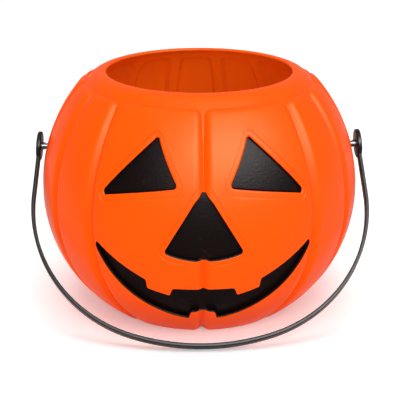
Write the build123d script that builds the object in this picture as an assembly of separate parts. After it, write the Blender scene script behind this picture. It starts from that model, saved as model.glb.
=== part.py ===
from build123d import *
from math import asin, cos, degrees, hypot, radians, sin, sqrt, tan
import os

# Pumpkin candy pail: a lobed moulded pumpkin with a painted face and a strap handle on two studs.
# Millimetres. +Z is up, the face looks along -Y, and the origin is on the floor under the middle.

# Belly: the crowns of the lobes rise from the foot to the widest level and close in to the lip
belly_radius = 108.0
belly_height = 84.0
foot_radius = 62.0
foot_width = 16.0
push_up_height = 4.0
push_up_slope = 45.0
wall = 1.5

# Lip: above the lobes the wall rolls inwards and ends in a round edge
rim_height = 164.5
lip_band_height = 4.5
lip_radius = 12.0
lobe_top_radius = 78.3
opening_radius = 63.0
lip_edge_share = 0.45

# Lobes: equal steps around the pail, with two steps under each half of the face
lobe_steps = 17
panel_steps = 2
groove_depth = 2.8
groove_gap = 0.6
shoulder_radius = 5.4

# Face: outlines on an upright plane one belly radius in front, narrowing from there to the pail's axis
recess_depth = 3.5
border_width = 4.2
border_depth = 0.45
coat_thickness = 0.4
coat_drop = 0.7
eye_corner_radius = 2.0
nose_corner_radius = 2.0
mouth_corner_radius = 1.6
eye_corner_shares = ((0.158, 0.273), (0.324, 0.543), (0.790, 0.184))
nose_corner_shares = ((-0.238, -0.112), (0.0, 0.274), (0.238, -0.112))
nose_bottom_shares = (0.0, -0.156)
mouth_tooth_shares = ((0.198, -0.359), (0.226, -0.415), (0.392, -0.371), (0.391, -0.307))
mouth_upper_bend_shares = (0.593, -0.215)
mouth_tip_shares = ((0.818, -0.105), (0.838, -0.132))
mouth_lower_bend_shares = (0.560, -0.422)
mouth_chin_shares = ((0.118, -0.608), (0.092, -0.546))
cutter_near_share = 0.6
cutter_far_share = 1.12

# Handle: a strap bent flat-wise with a round ear at each end, lying on the floor in front
pivot_height = 111.4
ear_radius = 10.0
ear_thickness = 3.0
ear_edge_radius = 0.9
ear_clearance = 0.55
strap_width = 7.0
strap_thickness = 2.5
strap_edge_radius = 0.8
strap_splay = 4.5
strap_side_radius = 96.0
strap_bottom_radius = 150.0
strap_lean = 41.0
floor_clearance = 0.2
witness_run = 26.0
witness_width = 0.8
witness_depth = 0.3

# Studs: a shank in the ear, a thinner neck through the shell, a sunk head outside and a split barb inside
stud_radius = 2.5
stud_shoulder_clearance = 0.3
neck_radius = 1.85
neck_clearance = 0.1
stud_head_lip = 1.6
stud_head_thickness = 0.7
stud_head_floor = 1.9
stud_head_clearance = 0.1
barb_lip = 1.0
barb_tip_radius = 1.5
barb_length = 5.0
barb_clearance = 0.35
barb_slot_width = 0.9
barb_slot_depth = 4.0

# Cuts run past the faces they open by this much
overrun = 5.0

# Sizes that follow from those above
lobe_top_height = rim_height - lip_band_height
lobe_root = groove_depth + shoulder_radius
barb_radius = neck_radius + barb_lip
stud_head_radius = stud_radius + stud_head_lip


def arc_radius(end_radius, rise):
    """Radius of an arc that is upright at the widest level and ends a rise above or below it."""
    inward = belly_radius - end_radius
    return (inward**2 + rise**2) / (2 * inward)


lower_arc_radius = arc_radius(foot_radius, belly_height)
upper_arc_radius = arc_radius(lobe_top_radius, lobe_top_height - belly_height)


def crown_middle(radius):
    """Middle of an arc of the belly, in the half plane of radius and height."""
    return (belly_radius - radius, belly_height)


def crown_point(radius, inset, angle):
    """Point on an arc of the belly, an inset inside the crowns, at an angle above the level."""
    across, up = crown_middle(radius)
    reach = radius - inset
    return (across + reach * cos(radians(angle)), up + reach * sin(radians(angle)))


def crown_angle(radius, inset, height):
    """Angle above the level at which an arc of the belly reaches a height."""
    return degrees(asin((height - belly_height) / (radius - inset)))


def crown_radius(inset, height):
    """Distance from the pail's axis to the belly at a height."""
    radius = upper_arc_radius if height > belly_height else lower_arc_radius
    return crown_point(radius, inset, crown_angle(radius, inset, height))[0]


def crown_line(inset, bottom, top_angle):
    """The two arcs of the belly from a bottom height to an angle above the level."""
    low_angle = crown_angle(lower_arc_radius, inset, bottom)
    lower = CenterArc(crown_middle(lower_arc_radius), lower_arc_radius - inset, low_angle, -low_angle)
    upper = CenterArc(crown_middle(upper_arc_radius), upper_arc_radius - inset, 0, top_angle)
    return lower + upper


def turned(outline):
    """Solid of revolution of a closed half section."""
    return revolve(Plane.XZ * make_face(outline), Axis.Z)


def belly_blank(inset):
    """The smooth belly without grooves, an inset inside the crowns."""
    top_angle = crown_angle(upper_arc_radius, inset, lobe_top_height)
    top = crown_point(upper_arc_radius, inset, top_angle)
    ends = Polyline(top, (0, lobe_top_height), (0, 0), (crown_radius(inset, 0), 0))
    return turned(crown_line(inset, 0, top_angle) + ends)


def body_core(skin):
    """The body under its lobes, a skin inside the outer face, with the lip rolled in."""
    inset = groove_depth + skin
    lip = lip_radius - skin
    lip_rise = rim_height - lip_radius - belly_height
    lip_angle = degrees(asin(lip_rise / (upper_arc_radius - groove_depth - lip_radius)))
    lip_middle = crown_point(upper_arc_radius, inset + lip, lip_angle)
    rolled = CenterArc(lip_middle, lip, lip_angle, 90 - lip_angle)
    ends = Polyline(rolled @ 1, (0, rim_height - skin), (0, skin), (crown_radius(inset, skin), skin))
    return turned(crown_line(inset, skin, lip_angle) + rolled + ends)


def push_up(skin):
    """What the pushed-up middle of the base takes from the body, a skin inside the outer face."""
    slope = radians(push_up_slope)
    top = push_up_height + skin
    bottom_radius = foot_radius - foot_width + skin * tan(slope / 2) + (skin + overrun) / tan(slope)
    top_radius = bottom_radius - (top + overrun) / tan(slope)
    corners = [(0, -overrun), (bottom_radius, -overrun), (top_radius, top), (0, top)]
    return turned(Polyline(*corners, close=True))


def lobe_ring(skin):
    """A band under the crowns, from the foot to the tops of the lobes."""
    end_angle = crown_angle(upper_arc_radius, 0, lobe_top_height) - degrees(skin / upper_arc_radius)
    root = skin + lobe_root
    outside = crown_line(skin, skin, end_angle)
    inside = crown_line(root, skin, end_angle)
    top = Line(*[crown_point(upper_arc_radius, inset, end_angle) for inset in (skin, root)])
    foot = Line(*[(crown_radius(inset, skin), skin) for inset in (skin, root)])
    return turned(outside + top + inside + foot)


def is_crown(face, skin):
    """Whether a face of a lobe is on the crowns."""
    middle = face.center()
    depth = crown_radius(skin, middle.Z) - hypot(middle.X, middle.Y)
    return face.geom_type not in (GeomType.PLANE, GeomType.CONE) and depth < lobe_root / 2


def is_crown_rim(edge, skin):
    """Whether an edge of a crown is on a lobe's sides or top, not at its foot or its widest level."""
    heights = [vertex.Z for vertex in edge.vertices()]
    level = max(heights) - min(heights) < shoulder_radius
    inner = min(abs(heights[0] - skin), abs(heights[0] - belly_height)) < shoulder_radius
    return not (level and inner)


def lobe(skin, steps):
    """One lobe centred on +X, rolled over at its shoulders and top, or bevelled there inside the wall."""
    half_angle = radians(180 * steps / lobe_steps)
    apex = (groove_gap / 2 + skin) / sin(half_angle)
    reach = 2 * belly_radius
    sides = [(apex + reach * cos(turn), reach * sin(turn)) for turn in (-half_angle, half_angle)]
    wedge = extrude(make_face(Polyline((apex, 0), *sides, close=True)), rim_height)
    blank = Rot(Z=180) * lobe_ring(skin) & wedge
    top = blank.faces().sort_by(Axis.Z)[-1]
    corners = [edge for edge in top.edges() if edge.geom_type != GeomType.CIRCLE]
    crowns = [face for face in blank.faces() if is_crown(face, skin)]
    rim = [edge for face in crowns for edge in face.edges() if is_crown_rim(edge, skin)]
    soften = chamfer if skin else fillet
    return soften(rim + corners, shoulder_radius - skin)


def lobed_body(skin):
    """The whole body with its lobes, a skin inside the outer face."""
    step = 360 / lobe_steps
    front = -90
    panel = lobe(skin, panel_steps)
    single = lobe(skin, 1)
    panels = [Rot(Z=front + side * panel_steps * step / 2) * panel for side in (-1, 1)]
    places = range(panel_steps, lobe_steps - panel_steps)
    singles = [Rot(Z=front + (place + 1 / 2) * step) * single for place in places]
    return body_core(skin).fuse(*panels, *singles) - push_up(skin)


def spot(shares):
    """Point on the plane of the face from its shares of the belly radius."""
    return (shares[0] * belly_radius, shares[1] * belly_radius)


def eye_outline():
    """The right eye, a leaning triangle."""
    eye = make_face(Polyline(*[spot(shares) for shares in eye_corner_shares], close=True))
    return fillet(eye.vertices(), eye_corner_radius)


def nose_outline():
    """The nose, a triangle with a bowed bottom edge."""
    left, tip, right = [spot(shares) for shares in nose_corner_shares]
    nose = make_face(Polyline(left, tip, right) + ThreePointArc(right, spot(nose_bottom_shares), left))
    return fillet(nose.vertices(), nose_corner_radius)


def mouth_outline():
    """The grin, with two teeth in the upper lip and one in the lower."""
    tooth = [spot(shares) for shares in mouth_tooth_shares]
    tip = [spot(shares) for shares in mouth_tip_shares]
    chin = [spot(shares) for shares in mouth_chin_shares]
    upper = ThreePointArc(tooth[-1], spot(mouth_upper_bend_shares), tip[0])
    lower = ThreePointArc(tip[1], spot(mouth_lower_bend_shares), chin[0])
    half = Polyline(*tooth) + upper + Line(*tip) + lower + Line(*chin)
    middles = [Line((-across, up), (across, up)) for across, up in (tooth[0], chin[1])]
    mouth = make_face(half + mirror(half, about=Plane.YZ) + middles)
    return fillet(mouth.vertices(), mouth_corner_radius)


def cutter(outline):
    """Solid with the outline of a feature and level walls, narrowing towards the pail's axis."""
    sections = []
    for share in (cutter_near_share, cutter_far_share):
        place = Plane((0, -share * belly_radius, belly_height), x_dir=(1, 0, 0), z_dir=(0, -1, 0))
        sections.append(place * scale(outline, by=(share, 1, 1)))
    return loft(sections, ruled=True)


def recess(outline, depth):
    """What a recess of the face takes away, down to a depth below the crowns."""
    return cutter(outline) - belly_blank(depth)


def coat(outline, body, drop):
    """Paint on the floor and walls of a recess, up to a drop below the crowns."""
    hollow = recess(offset(outline, -coat_thickness), recess_depth - coat_thickness)
    return (cutter(outline) & belly_blank(drop) & body) - belly_blank(recess_depth) - hollow


def bar(radius, start, end):
    """Round bar along the X axis between two places on it."""
    return Pos(X=(start + end) / 2) * Rot(Y=90) * Cylinder(radius, end - start)


def pail_shell(outside, inside, outlines):
    """The moulded pumpkin: one wall all over, open at the top, with the two stud holes."""
    outside = outside - [recess(outline, recess_depth) for outline in outlines]
    bosses = [recess(offset(outline, wall), recess_depth + wall) for outline in outlines]
    opening_depth = lip_radius + overrun
    opening = Pos(Z=rim_height + overrun - opening_depth / 2) * Cylinder(opening_radius, opening_depth)
    shell = outside - (inside - bosses) - opening
    circles = shell.edges().filter_by(GeomType.CIRCLE).filter_by(lambda edge: edge.is_closed)
    lip_edges = [edge for edge in circles if abs(edge.radius - opening_radius) < lip_edge_share * wall]
    shell = fillet(lip_edges, lip_edge_share * wall)
    return shell - Pos(Z=pivot_height) * bar(neck_radius + neck_clearance, -belly_radius, belly_radius)


def ear_inner_face():
    """Where the pivot line leaves the pail's side of the right ear, which clears the belly all round."""
    belly = crown_radius(0, pivot_height - ear_radius)
    return belly + ear_clearance + ear_radius * tan(radians(strap_splay))


def ear_middle():
    """Where the pivot line crosses the middle of the right ear."""
    return ear_inner_face() + ear_thickness / 2 / cos(radians(strap_splay))


def strap_drop():
    """From the pivot line down to the middle of the strap's lowest point, with its edge on the floor."""
    lean = radians(strap_lean)
    edge_height = floor_clearance + strap_edge_radius + (strap_width / 2 - strap_edge_radius) * sin(lean)
    return (pivot_height - edge_height) / cos(lean) - (strap_thickness / 2 - strap_edge_radius)


def strap_directions():
    """Along the strap where it leaves its ear, and straight out of that ear, in the strap's plane."""
    splay = radians(strap_splay)
    return Vector(sin(splay), -cos(splay)), Vector(cos(splay), sin(splay))


def strap_line():
    """Middle line of the right half of the strap: straight from the ear, then two arcs that meet."""
    run, outward = strap_directions()
    start = Vector(ear_middle(), 0)
    bottom = Vector(0, -strap_drop())
    bottom_middle = bottom + Vector(0, strap_bottom_radius)
    step = start - outward * strap_side_radius - bottom_middle
    along = step.dot(run)
    span = strap_bottom_radius - strap_side_radius
    lead = sqrt(along**2 - step.length**2 + span**2) - along
    side_end = bottom_middle + (step + run * lead).normalized() * strap_bottom_radius
    straight = Line(start, start + run * lead)
    side = TangentArc(straight @ 1, side_end, tangent=straight % 1)
    return straight + side + TangentArc(side @ 1, bottom, tangent=side % 1)


def half_strap():
    """Right half of the strap with its ear, hanging straight down in the XY plane."""
    run, outward = strap_directions()
    start = Vector(ear_middle(), 0)
    across = Plane(start, x_dir=(0, 0, 1), z_dir=run)
    strap = sweep(across * RectangleRounded(strap_width, strap_thickness, strap_edge_radius), strap_line())
    mark = across.offset(witness_run) * Box(2 * witness_depth, strap_thickness, witness_width)
    marks = [Pos(Z=side * strap_width / 2) * mark for side in (-1, 1)]
    disc = Cylinder(ear_radius, ear_thickness)
    disc = fillet(disc.edges().filter_by(GeomType.CIRCLE), ear_edge_radius)
    ear = Plane(start, x_dir=(0, 0, 1), z_dir=outward) * disc
    head_floor = ear_inner_face() + stud_head_floor
    hole = bar(stud_radius, 0, head_floor + overrun)
    head_room = bar(stud_head_radius + stud_head_clearance, head_floor, head_floor + overrun)
    return strap - marks + ear - hole - head_room


def pivot_stud():
    """Right snap stud on the X axis, with its head outside the pail and a shoulder that meets the shell."""
    head_floor = ear_inner_face() + stud_head_floor
    shoulder = crown_radius(0, pivot_height - stud_radius) + stud_shoulder_clearance
    barb_base = crown_radius(wall, pivot_height + barb_radius) - barb_clearance
    tip = barb_base - barb_length
    barb = Pos(X=(tip + barb_base) / 2) * Rot(Y=90) * Cone(barb_tip_radius, barb_radius, barb_length)
    neck = bar(neck_radius, barb_base, shoulder)
    shank = bar(stud_radius, shoulder, head_floor)
    head = bar(stud_head_radius, head_floor, head_floor + stud_head_thickness)
    slot = Pos(X=tip) * Box(2 * barb_slot_depth, barb_slot_width, 2 * barb_radius)
    return barb + neck + shank + head - slot


def mirrored(piece):
    """The same piece on the other side of the pail."""
    return mirror(piece, about=Plane.YZ)


eye = eye_outline()
bordered = {"left_eye": mirrored(eye), "right_eye": eye, "nose": nose_outline()}
outlines = {**bordered, "mouth": mouth_outline()}
borders = [recess(offset(outline, border_width), border_depth) for outline in bordered.values()]
body = lobed_body(0) - borders
strap_half = half_strap()
in_place = Pos(Z=pivot_height) * Rot(X=90 - strap_lean)
stud = in_place * pivot_stud()

drops = {name: coat_drop + border_depth * (name in bordered) for name in outlines}
nodes = {f"{name}_paint": coat(outline, body, drops[name]) for name, outline in outlines.items()}
nodes["pail_shell"] = pail_shell(body, lobed_body(wall), list(outlines.values()))
nodes["handle_strap"] = in_place * (strap_half + mirrored(strap_half))
nodes["right_pivot_stud"] = stud
nodes["left_pivot_stud"] = mirrored(stud)

os.makedirs("parts", exist_ok=True)
for name, node in nodes.items():
    export_step(node, f"parts/{name}.step")
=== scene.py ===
from math import acos, atan, atan2, cos, hypot, pi, radians, sin, tan

import bmesh
import bpy
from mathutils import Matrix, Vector
from mathutils.bvhtree import BVHTree
from mathutils.kdtree import KDTree


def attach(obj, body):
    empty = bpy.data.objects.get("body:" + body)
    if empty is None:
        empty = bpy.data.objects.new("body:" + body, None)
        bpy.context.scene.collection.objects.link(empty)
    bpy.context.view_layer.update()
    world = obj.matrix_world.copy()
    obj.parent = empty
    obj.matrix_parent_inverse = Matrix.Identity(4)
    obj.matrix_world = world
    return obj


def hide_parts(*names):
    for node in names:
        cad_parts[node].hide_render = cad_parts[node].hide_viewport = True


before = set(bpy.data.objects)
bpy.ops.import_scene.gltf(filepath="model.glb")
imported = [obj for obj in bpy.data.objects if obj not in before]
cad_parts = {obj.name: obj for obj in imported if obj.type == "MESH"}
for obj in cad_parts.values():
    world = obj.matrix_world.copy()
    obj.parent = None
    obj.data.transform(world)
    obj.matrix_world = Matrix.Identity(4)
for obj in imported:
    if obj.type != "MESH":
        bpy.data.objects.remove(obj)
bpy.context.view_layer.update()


# Pail shell. The pumpkin is one thin moulding of orange polypropylene with a satin skin.
# The mould rolls the edges of its recesses over, and leaves a very fine grain all over.
class Shade:
    """A socket in a node tree. Sums on it add Math nodes, and node() adds any other node."""

    def __init__(self, tree, socket=None):
        self.tree = tree
        self.socket = socket

    def node(self, kind, settings=(), sockets=(), output=0):
        """Adds a node, sets it up, then fills or links its sockets."""
        made = self.tree.nodes.new("ShaderNode" + kind)
        for name, value in dict(settings).items():
            if name == "stops":
                for stop, (place, colour) in zip(made.color_ramp.elements, value):
                    stop.position = place
                    stop.color = colour
            else:
                setattr(made, name, value)
        for name, value in dict(sockets).items():
            if isinstance(value, Shade):
                self.tree.links.new(value.socket, made.inputs[name])
            else:
                made.inputs[name].default_value = value
        return Shade(self.tree, made.outputs[output] if made.outputs else None)

    def maths(self, operation, first, second):
        return self.node("Math", {"operation": operation}, {0: first, 1: second})

    def __add__(self, other):
        return self.maths("ADD", self, other)

    def __radd__(self, other):
        return self.maths("ADD", other, self)

    def __mul__(self, other):
        return self.maths("MULTIPLY", self, other)

    def __rmul__(self, other):
        return self.maths("MULTIPLY", other, self)


def new_finish(name):
    """A material with an empty node tree, and a Shade to build on."""
    material = bpy.data.materials.new(name)
    material.use_nodes = True
    material.node_tree.nodes.clear()
    return material, Shade(material.node_tree)


def close_finish(shade, surface):
    """Joins the finished surface to the material's output."""
    shade.node("OutputMaterial", {}, {"Surface": surface})


def merged_copy(node):
    """A solid's mesh as a bmesh, with its loose triangles joined."""
    work = bmesh.new()
    work.from_mesh(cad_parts[node].data)
    bmesh.ops.remove_doubles(work, verts=work.verts, dist=merge_distance)
    for edge in work.edges:
        edge.smooth = True
    return work


def finished_piece(work, name, node, finish, crease):
    """A smooth piece made from a bmesh, which stands for a CAD node and wears one finish."""
    work.normal_update()
    for face in work.faces:
        face.smooth = True
    for edge in work.edges:
        edge.smooth = edge.smooth and edge.calc_face_angle(0) < radians(crease)
    mesh = bpy.data.meshes.new(name)
    work.to_mesh(mesh)
    work.free()
    mesh.materials.append(finish)
    piece = bpy.data.objects.new(name, mesh)
    bpy.context.scene.collection.objects.link(piece)
    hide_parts(node)
    return piece


def turn_slivers(work):
    """Turns the longest edge of each sliver of a triangle that would crease the smooth shoulder."""
    for _ in range(sliver_passes):
        for face in list(work.faces):
            if face.is_valid and min(vertex.co.z for vertex in face.verts) > shoulder_foot:
                edge = max(face.edges, key=lambda side: side.calc_length())
                first, last = [loop.link_loop_prev.vert for loop in edge.link_loops]
                thin = 2 * face.calc_area() < sliver_height * edge.calc_length()
                if thin and not any(last in side.verts for side in first.link_edges):
                    bmesh.utils.edge_rotate(edge)
    work.normal_update()


def sharp_edges(work, feature, nearest, farthest):
    """The sharp outer edges of the shell at some distance from a coat of paint."""
    coat = merged_copy(f"{feature}_paint")
    tree = BVHTree.FromBMesh(coat)
    coat.free()
    found = []
    for edge in work.edges:
        middle = (edge.verts[0].co + edge.verts[1].co) / 2
        spot, _, _, gap = tree.find_nearest(middle, farthest)
        if spot is None or gap < nearest or (middle - spot).dot(middle - pail_middle) < 0:
            continue
        if edge.calc_face_angle_signed() > radians(sharp_angle):
            found.append(edge)
    return found


def crown_normal(point):
    """The direction out of the pumpkin's round form at a point."""
    arc = upper_arc if point.z > belly_height else lower_arc
    plan = Vector((point.x, point.y, 0))
    centre = plan.normalized() * (belly_radius - arc) + Vector((0, 0, belly_height))
    return (point - centre).normalized()


class EdgeGuide:
    """Points along sharp edges, each with the directions out of the shell and into the recess."""

    def __init__(self, edges):
        inward = {}
        for edge in edges:
            away = crown_normal(edge.verts[0].co)
            wall = min(edge.link_faces, key=lambda face: face.normal.dot(away))
            for vertex in edge.verts:
                inward[vertex] = inward.get(vertex, Vector()) + wall.normal
        self.rows = []
        for edge in edges:
            first, last = edge.verts
            count = int(edge.calc_length() / guide_step) + 2
            for share in [step / (count - 1) for step in range(count)]:
                point = first.co.lerp(last.co, share)
                into = inward[first].lerp(inward[last], share).normalized()
                self.rows.append([point, crown_normal(point), into])
        self.tree = KDTree(len(self.rows))
        for index, row in enumerate(self.rows):
            self.tree.insert(row[0], index)
        self.tree.balance()
        places = list(zip(*(row[0] for row in self.rows)))
        self.low = [min(place) - guide_margin for place in places]
        self.high = [max(place) + guide_margin for place in places]

    def beside(self, work, reach):
        """The points of a mesh within reach of the edges, each with its gap."""
        found = []
        for vertex in work.verts:
            inside = zip(self.low, vertex.co, self.high)
            if all(low < place < high for low, place, high in inside):
                gap = self.tree.find(vertex.co)[2]
                if gap < reach:
                    found.append((vertex, gap))
        return found

    def nearest(self, point):
        """The nearest point of the edges, with its outward and inward directions."""
        return self.rows[self.tree.find(point)[1]]


def divide_beside(work, guide, reach, length):
    """Halves the long edges beside an edge guide until the mesh can follow a curve there."""
    for _ in range(divide_passes):
        long = {
            edge for vertex, gap in guide.beside(work, reach)
            for edge in vertex.link_edges if edge.calc_length() > length
        }
        bmesh.ops.subdivide_edges(work, edges=list(long), cuts=1)
        bmesh.ops.triangulate(work, faces=[face for face in work.faces if len(face.verts) > 3])
    work.normal_update()


def groove_at(point):
    """The number and heading of the lobe step nearest to a point, and its distance beside that."""
    heading = atan2(point.y, point.x)
    step = round((heading + pi / 2) / lobe_step)
    turn = step * lobe_step - pi / 2
    return step, turn, hypot(point.x, point.y) * sin(heading - turn)


def roll_frame(start, outward, inward, radius):
    """A roll between two surfaces, tight in a groove: radius, centre from their edge, and turn."""
    step, _, aside = groove_at(start)
    crown = min(1, max(0, (abs(aside) - tight_half) / tight_fade))
    if abs(step) == plain_step:
        crown = 1
    radius = max(radius * crown, tight_radius)
    lean = max(outward.dot(inward), -sharpest_lean)
    return radius, (outward + inward) * (-radius / (1 + lean)), acos(lean)


def roll_over(work, guide, radius):
    """Moves the points beside a rim onto a roll."""
    for vertex, gap in guide.beside(work, guide_margin):
        start, outward, inward = guide.nearest(vertex.co)
        bend, centre, turn = roll_frame(start, outward, inward, radius)
        reach = bend * tan(turn / 2)
        if gap < reach:
            offset = vertex.co - start
            near, far = outward, inward
            if offset.dot(outward) < offset.dot(inward):
                near, far = inward, outward
            along = (near * near.dot(far) - far).normalized()
            share = (1 - gap / reach) / 2
            vertex.co += centre + near.slerp(far, share) * bend - along * gap


def ease_step(work, guide):
    """Draws the top edge of a border's low step back, so that the step is a soft ramp."""
    for vertex, gap in guide.beside(work, ramp_reach):
        start, outward, inward = guide.nearest(vertex.co)
        level = max(0, 1 + min(0, (vertex.co - start).dot(outward)) / ramp_level)
        vertex.co -= inward * ramp_width * level * (1 - gap / ramp_reach)


def sharpen_grooves(work):
    """Draws the two edges of each groove's narrow floor together and down into a valley line."""
    moved = set()
    for vertex in work.verts:
        x, y, z = vertex.co
        arc = upper_arc if z > belly_height else lower_arc
        inset = arc - hypot(hypot(x, y) - belly_radius + arc, z - belly_height)
        step, turn, aside = groove_at(vertex.co)
        share = min(1, (groove_top - z) / groove_fade, (z - groove_foot) / groove_fade)
        in_floor = abs(inset - groove_depth) < groove_level and abs(aside) < groove_half
        if in_floor and abs(step) != plain_step and share > 0:
            side = Vector((-sin(turn), cos(turn), 0)) * aside * groove_close
            vertex.co -= (side + crown_normal(vertex.co) * groove_sink) * share
            moved.add(vertex)
    for edge in work.edges:
        edge.smooth = not moved.issuperset(edge.verts)


def mark_inside(work):
    """Marks the inner wall, where a paler orange is painted in as light coming through the thin
    plastic.
    """
    work.normal_update()
    inside = work.verts.layers.float.new("inside")
    for vertex in work.verts:
        vertex[inside] = vertex.normal.dot(crown_normal(vertex.co)) < inner_facing


def crown_arc(end_radius, rise):
    """The radius of the arc from the belly, where it is upright, to another height and radius."""
    inset = belly_radius - end_radius
    return (inset ** 2 + rise ** 2) / (2 * inset)


merge_distance = 1e-6
sliver_passes, sliver_height = 4, 0.00004
shoulder_foot = 0.145
shell_crease = 32
belly_radius, belly_height = 0.108, 0.084
foot_radius = 0.062
lobe_top_radius, lobe_top_height = 0.0783, 0.160
pail_middle = Vector((0, 0, belly_height))
lower_arc = crown_arc(foot_radius, belly_height)
upper_arc = crown_arc(lobe_top_radius, lobe_top_height - belly_height)
lobe_steps = 17
lobe_step = 2 * pi / lobe_steps
plain_step = 1  # no groove here: each half of the face is one lobe two steps wide
groove_depth, groove_level, groove_half = 0.0028, 0.0001, 0.0012
groove_top, groove_foot, groove_fade = 0.157, 0.003, 0.02
groove_close, groove_sink = 0.92, 0.0004
inner_facing = -0.5
sharp_angle = 35
sharpest_lean = 0.6
tight_half, tight_fade, tight_radius = 0.0025, 0.003, 0.00005
rim_reach = 0.002
bordered = ("left_eye", "right_eye", "nose")
step_near, step_far = 0.003, 0.007
ramp_reach, ramp_width, ramp_level = 0.003, 0.0004, 0.0003
guide_step, guide_margin = 0.0001, 0.004
divide_passes = 5
rim_fineness = 1.7
rim_radii = {"left_eye": 0.0014, "right_eye": 0.0014, "nose": 0.0014, "mouth": 0.0011}

deep_orange, light_orange = (0.96, 0.074, 0.0003, 1), (0.98, 0.084, 0.0006, 1)
# Painted light: the inner wall gets a paler orange, standing in for light that comes through the
# thin plastic.
painted_inner_light_orange = (1.0, 0.22, 0.006, 1)
sheen_tint = (1.0, 0.8, 0.45, 1)
orange_finish, shade = new_finish("orange_plastic")
place = shade.node("TexCoord", output="Object")
grain = shade.node("TexNoise", {}, {"Vector": place, "Scale": 1100, "Detail": 2})
relief = shade.node("Bump", {}, {"Strength": 0.1, "Distance": 0.0003, "Height": grain})
flow = shade.node("TexNoise", {}, {"Vector": place, "Scale": 25, "Detail": 3})
skin = shade.node("Mix", {"data_type": "RGBA"}, {
    0: flow, 6: deep_orange, 7: light_orange}, output=2)
within = shade.node("Attribute", {"attribute_name": "inside"}, output="Fac")
# Painted light: the marked inner wall takes the paler orange in place of the skin's own tone.
colour = shade.node("Mix", {"data_type": "RGBA"}, {
    0: within, 6: skin, 7: painted_inner_light_orange}, output=2)
close_finish(shade, shade.node("BsdfPrincipled", {}, {
    "Base Color": colour, "Roughness": 0.36 + 0.1 * grain, "Normal": relief,
    "Specular IOR Level": 0.06, "Specular Tint": sheen_tint}))

work = merged_copy("pail_shell")
turn_slivers(work)
sharpen_grooves(work)
work.normal_update()
guides = {}
for feature, radius in rim_radii.items():
    if feature in bordered:
        ease_step(work, EdgeGuide(sharp_edges(work, feature, step_near, step_far)))
    guides[feature] = EdgeGuide(sharp_edges(work, feature, 0, rim_reach))
    divide_beside(work, guides[feature], radius, radius / rim_fineness)
    roll_over(work, guides[feature], radius)
mark_inside(work)
shell = finished_piece(work, "pumpkin_shell", "pail_shell", orange_finish, shell_crease)
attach(shell, "pail")


# Face paint. Each recess of the face carries a coat of black satin paint, brushed on thick.
# It covers the floor and walls of the recess, dries a little mottled, and thins out on the
# rolled edge.
def feather(work, guide, radius, cover):
    """Draws the edge of a coat up its wall and over a share of the roll of its recess."""
    for vertex, gap in guide.beside(work, guide_margin):
        start, outward, inward = guide.nearest(vertex.co)
        bend, centre, turn = roll_frame(start, outward, inward, radius)
        reach = bend * tan(turn / 2)
        hold = max(min(reach + coat_hold, coat_limit), reach)
        along = (inward * inward.dot(outward) - outward).normalized()
        deep = (vertex.co - start).dot(along)
        aside = (vertex.co - start).dot(inward)
        share = min(1, (hold - deep) / (hold - coat_drop))
        if share > 0 and aside < coat_skin:
            film = coat_film if aside > coat_thickness / 2 else -coat_film
            lift = aside * (1 - share) + film * share
            run = share * (hold - reach + bend * turn * cover)
            if run < hold - reach:
                place = along * (hold - run) + inward * lift
            else:
                roll = inward.slerp(outward, (run - hold + reach) / (bend * turn))
                place = centre + roll * (bend + lift)
            vertex.co = start + place + (vertex.co - start - along * deep - inward * aside)


def black_paint(name, gloss):
    """Black paint with a mottled skin, a few thin brownish spots, and some gloss."""
    finish, shade = new_finish(name)
    place = shade.node("TexCoord", output="Object")
    mottle = shade.node("TexNoise", {}, {"Vector": place, "Scale": 950, "Detail": 3})
    relief = shade.node("Bump", {}, {"Strength": 0.4, "Distance": 0.0006, "Height": mottle})
    cover = shade.node("TexNoise", {}, {"Vector": place, "Scale": 160, "Detail": 2})
    thin = shade.node("ValToRGB", {"stops": thin_stops}, {"Fac": cover})
    colour = shade.node("Mix", {"data_type": "RGBA"}, {
        0: thin, 6: full_black, 7: thin_brown}, output=2)
    close_finish(shade, shade.node("BsdfPrincipled", {}, {
        "Base Color": colour, "Roughness": 0.28 + 0.2 * mottle, "Normal": relief,
        "Specular IOR Level": gloss}))
    return finish


full_black, thin_brown = (0.0045, 0.0018, 0.0016, 1), (0.02, 0.006, 0.0035, 1)
thin_stops = [(0.66, (0, 0, 0, 1)), (0.8, (1, 1, 1, 1))]
coat_thickness, coat_film = 0.0004, 0.00005
coat_skin = coat_thickness * 1.5
coat_drop, coat_hold, coat_limit = 0.0007, 0.0009, 0.0024
coat_crease = 30
coat_reach, coat_fineness = 1.6, 3
coat_covers = {"left_eye": 0.35, "right_eye": 0.35, "nose": 0.65, "mouth": 0.6}
eye_finish = black_paint("black_eye_paint", 0.03)
mouth_finish = black_paint("black_mouth_paint", 0.027)
coat_finishes = {
    "left_eye": eye_finish, "right_eye": eye_finish,
    "nose": mouth_finish, "mouth": mouth_finish}
for feature, radius in rim_radii.items():
    node = f"{feature}_paint"
    work = merged_copy(node)
    divide_beside(work, guides[feature], radius * coat_reach, radius / coat_fineness)
    feather(work, guides[feature], radius, coat_covers[feature])
    coat = finished_piece(work, f"{feature}_coat", node, coat_finishes[feature], coat_crease)
    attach(coat, "pail")


# Strap. The handle is a strap of black polyethylene, moulded flat and bent into a hoop.
# Each end is a round ear, and the flow of the plastic leaves streaks along it.
strap_lean = 41
streak_narrowing = 0.03
strap_black, strap_grey = (0.001, 0.001, 0.001, 1), (0.012, 0.012, 0.0125, 1)
strap_finish, shade = new_finish("black_strap")
place = shade.node("TexCoord", output="Object")
along = shade.node("Mapping", {"vector_type": "TEXTURE"}, {
    "Vector": place, "Rotation": (radians(-strap_lean), 0, 0), "Scale": (1, streak_narrowing, 1)})
streaks = shade.node("TexNoise", {}, {"Vector": along, "Scale": 36, "Detail": 3})
grain = shade.node("TexNoise", {}, {"Vector": place, "Scale": 900, "Detail": 2})
relief = shade.node("Bump", {}, {
    "Strength": 0.2, "Distance": 0.0003, "Height": streaks + 0.4 * grain})
colour = shade.node("Mix", {"data_type": "RGBA"}, {
    0: streaks, 6: strap_black, 7: strap_grey}, output=2)
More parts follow.
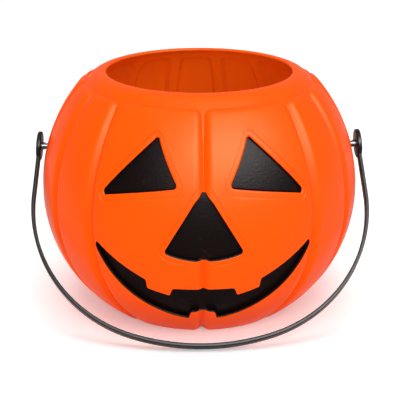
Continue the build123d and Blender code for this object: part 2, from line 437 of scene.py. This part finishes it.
close_finish(shade, shade.node("BsdfPrincipled", {}, {
    "Base Color": colour, "Roughness": 0.2 + 0.3 * streaks, "Normal": relief,
    "Specular IOR Level": 0.08}))
work = merged_copy("handle_strap")
strap = finished_piece(work, "carry_strap", "handle_strap", strap_finish, coat_crease)
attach(strap, "handle")


# Studs. A glossy black snap stud holds each ear to the pail, pushed in from outside.
# Its split barb has sprung open behind the wall.
stud_black = (0.005, 0.005, 0.006, 1)
stud_finish, shade = new_finish("black_stud")
place = shade.node("TexCoord", output="Object")
wear = shade.node("TexNoise", {}, {"Vector": place, "Scale": 500, "Detail": 2})
close_finish(shade, shade.node("BsdfPrincipled", {}, {
    "Base Color": stud_black, "Roughness": 0.1 + 0.14 * wear}))
for side in ("left", "right"):
    node = f"{side}_pivot_stud"
    stud = finished_piece(merged_copy(node), f"{side}_snap_stud", node, stud_finish, coat_crease)
    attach(stud, "handle")


# Floor, light and camera. The pail stands on a white sweep in a white room.
# Soft boxes light it from above, from the front and from the right, and one more at the right
# makes only the broad sheen on the plastic.
def looked_at(shade):
    """One for a ray from the camera, a reflection or glass, and zero for one that carries light."""
    kinds = ("Is Camera Ray", "Is Glossy Ray", "Is Transmission Ray")
    seen = [shade.node("LightPath", output=kind) for kind in kinds]
    return seen[0] + seen[1] + seen[2]


def soft_box(name, place, target, width, height, power):
    """A rectangular lamp at a place, turned to a target."""
    lamp = bpy.data.lights.new(name, "AREA")
    lamp.shape = "RECTANGLE"
    lamp.size = width
    lamp.size_y = height
    lamp.energy = power
    box = bpy.data.objects.new(name, lamp)
    box.location = place
    box.rotation_euler = (Vector(target) - Vector(place)).to_track_quat("-Z", "Y").to_euler()
    bpy.context.scene.collection.objects.link(box)
    return box


floor_half = 6.0
white, floor_white, floor_glow = (1, 1, 1, 1), (0.95, 0.95, 0.95, 1), 0.2
work = bmesh.new()
bmesh.ops.create_grid(work, x_segments=1, y_segments=1, size=floor_half)
floor_mesh = bpy.data.meshes.new("floor")
work.to_mesh(floor_mesh)
work.free()
floor = bpy.data.objects.new("floor", floor_mesh)
bpy.context.scene.collection.objects.link(floor)

floor_finish, shade = new_finish("white_floor")
matt = shade.node("BsdfDiffuse", {}, {"Color": floor_white})
glow = shade.node("Emission", {}, {"Color": white, "Strength": looked_at(shade) * floor_glow})
close_finish(shade, shade.node("AddShader", {}, {0: matt, 1: glow}))
floor_mesh.materials.append(floor_finish)

room_light = 0.5
world = bpy.data.worlds.new("white_room")
bpy.context.scene.world = world
world.use_nodes = True
world.node_tree.nodes.clear()
shade = Shade(world.node_tree)
room = shade.node("Background", {}, {"Color": white, "Strength": room_light})
shade.node("OutputWorld", {}, {"Surface": room})

lit_point = (0, 0, 0.1)
soft_box("top_box", (0.0, -0.2, 1.8), lit_point, 1.6, 1.6, 22)
soft_box("fill_box", (-0.25, -1.6, 0.6), lit_point, 1.6, 0.9, 10)
soft_box("key_box", (0.64, -1.11, 1.06), lit_point, 1.2, 0.8, 6)
sheen = soft_box("sheen_box", (0.48, -1.19, 1.04), lit_point, 1.8, 1.0, 290)
sheen.visible_diffuse = False

camera_turn = -1.6
camera_distance = 0.882
camera_height = 0.37656
camera_pitch = 19.109
focal_pixels = 1335.67
image_pixels = 400
axis_offset_pixels = -0.8

lens = bpy.data.cameras.new("camera")
lens.sensor_width = 36
lens.lens = lens.sensor_width * focal_pixels / image_pixels
camera = bpy.data.objects.new("camera", lens)
turn = radians(camera_turn)
camera.location = (camera_distance * sin(turn), -camera_distance * cos(turn), camera_height)
aim = atan(axis_offset_pixels / focal_pixels)
camera.rotation_euler = (radians(90 - camera_pitch), 0, turn + aim)
bpy.context.scene.collection.objects.link(camera)
bpy.context.scene.camera = camera

bpy.context.scene.view_settings.view_transform = "Standard"
